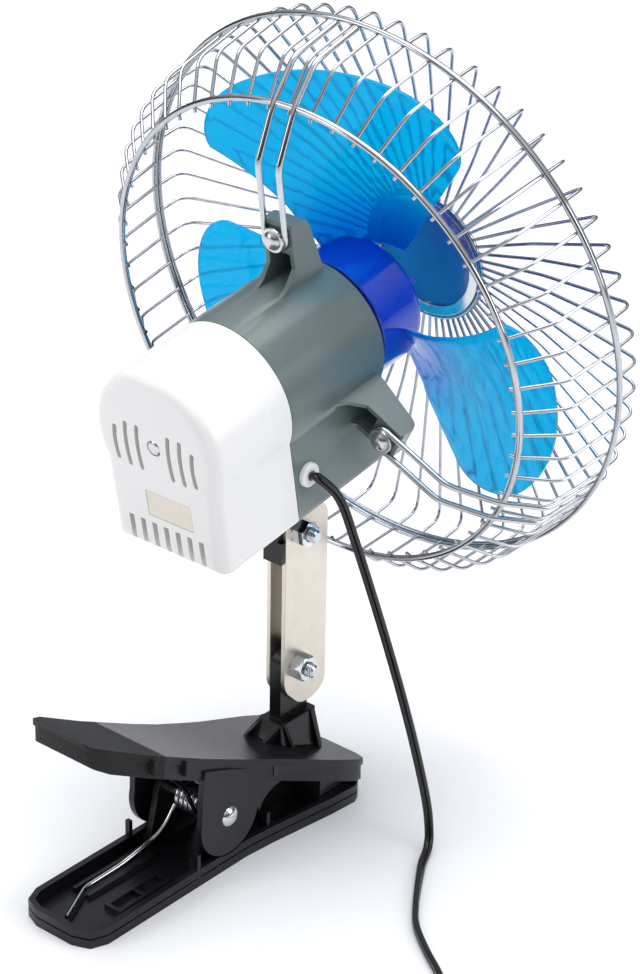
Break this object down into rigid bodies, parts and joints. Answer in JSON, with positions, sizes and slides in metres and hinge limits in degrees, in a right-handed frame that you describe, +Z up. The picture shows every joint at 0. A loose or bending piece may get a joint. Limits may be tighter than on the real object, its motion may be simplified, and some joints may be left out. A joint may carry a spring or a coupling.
{
  "type": "clip-on fan",
  "caption": "Clip-on car fan with a wire guard, tilting and swinging head, spring clamp and a corded lighter plug.",
  "frame": {"origin": "middle of the clamp's flat underside, right under the clamp pivot", "axes": "+Z up, -Y the way the air blows at rest and the way the jaws point, +X to the fan's left seen from behind the handle"},
  "size_m": [0.3224, 0.2604, 0.2927],
  "materials": {
    "clamp_black": "satin",
    "steel_pin": "polished",
    "plated_plastic": "chrome plated",
    "spring_steel": "bright",
    "plate_nickel": "satin",
    "zinc_bolt": "bright zinc",
    "neck_black": "satin",
    "housing_grey": "semi-gloss",
    "cover_white": "semi-gloss",
    "label_cream": "matte",
    "grommet_white": "matte",
    "motor_steel": "satin",
    "magnet_dark": "matte",
    "copper_winding": "copper windings on iron laminations",
    "gear_cream": "matte",
    "fan_blue": "translucent gloss",
    "cap_blue": "gloss",
    "wire_chrome": "polished",
    "badge_blue": "gloss",
    "cord_black": "satin",
    "plug_black": "semi-gloss"
  },
  "bodies": {
    "lower_jaw": {"lower_jaw": "clamp_black", "pivot_pin": "steel_pin", "clamp_spring": "spring_steel", "cord_lead": "cord_black", "cord_coil": "cord_black", "cord_tail": "cord_black", "cord_tie": "clamp_black", "plug_relief": "cord_black", "plug_body": "plug_black", "plug_nose": "plug_black", "plug_tip": "zinc_bolt", "plug_side_springs": "spring_steel"},
    "upper_jaw": {"upper_jaw": "clamp_black", "stand_post": "clamp_black", "post_screw": "zinc_bolt", "lower_bolt": "zinc_bolt", "lower_nut": "zinc_bolt"},
    "link": {"link_plate_near": "plate_nickel", "link_plate_far": "plate_nickel", "upper_bolt": "zinc_bolt", "upper_nut": "zinc_bolt"},
    "neck": {"swivel_neck": "neck_black", "swivel_clip": "motor_steel"},
    "head": {"motor_housing": "housing_grey", "rear_cover": "cover_white", "rear_cover_screw": "zinc_bolt", "label_plate": "label_cream", "cable_grommet": "grommet_white", "motor_can": "motor_steel", "motor_end_cap": "neck_black", "motor_magnets": "magnet_dark", "motor_mount_screws": "zinc_bolt", "gear_frame": "motor_steel", "main_ring": "wire_chrome", "rear_ring": "wire_chrome", "rear_wires": "wire_chrome", "guard_struts": "wire_chrome", "guard_screws": "zinc_bolt", "front_rim": "wire_chrome", "front_wires": "wire_chrome", "front_hub_ring": "wire_chrome", "badge_disc": "badge_blue", "badge_ring": "plated_plastic"},
    "fan": {"fan_rotor": "fan_blue", "spinner_cap": "cap_blue", "motor_shaft": "motor_steel", "armature": "copper_winding", "worm": "gear_cream"},
    "worm_wheel": {"worm_wheel": "gear_cream"},
    "drive_link": {"drive_link": "motor_steel"}
  },
  "joints": [
    {"name": "clamp_hinge", "type": "hinge", "parent": "lower_jaw", "child": "upper_jaw", "pos_m": [0, 0, 0.0215], "axis": [-1, 0, 0], "range_deg": [0, 24], "stiffness_Nm_per_rad": 0.9, "springref_deg": -28.65, "deforming": ["clamp_spring", "cord_lead"]},
    {"name": "lower_tilt", "type": "hinge", "parent": "upper_jaw", "child": "link", "pos_m": [0, -0.0513, 0.056], "axis": [1, 0, 0], "range_deg": [-20, 20], "deforming": ["cord_lead"]},
    {"name": "upper_tilt", "type": "hinge", "parent": "link", "child": "neck", "pos_m": [0, -0.0513, 0.111], "axis": [1, 0, 0], "range_deg": [0, 18], "deforming": ["cord_lead"]},
    {"name": "head_swing", "type": "hinge", "parent": "neck", "child": "head", "pos_m": [0, -0.04727, 0.13352], "axis": [0, 0.1761, 0.9844], "range_deg": [-40, 40], "deforming": ["cord_lead"]},
    {"name": "fan_spin", "type": "hinge", "parent": "head", "child": "fan", "pos_m": [0, -0.0957, 0.1879], "axis": [0, -0.9844, 0.1761], "continuous": true},
    {"name": "worm_wheel_spin", "type": "hinge", "parent": "head", "child": "worm_wheel", "pos_m": [0.0122, -0.01498, 0.17346], "axis": [0, 0.1761, 0.9844], "continuous": true},
    {"name": "drive_link_turn", "type": "hinge", "parent": "worm_wheel", "child": "drive_link", "pos_m": [0.0122, -0.02565, 0.1388], "axis": [0, 0.1761, 0.9844], "continuous": true}
  ],
  "couplings": [
    {"joint": "worm_wheel_spin", "follows": "fan_spin", "ratio": 0.035714},
    {"joint": "drive_link_turn", "follows": "fan_spin", "ratio": -0.035714}
  ]
}
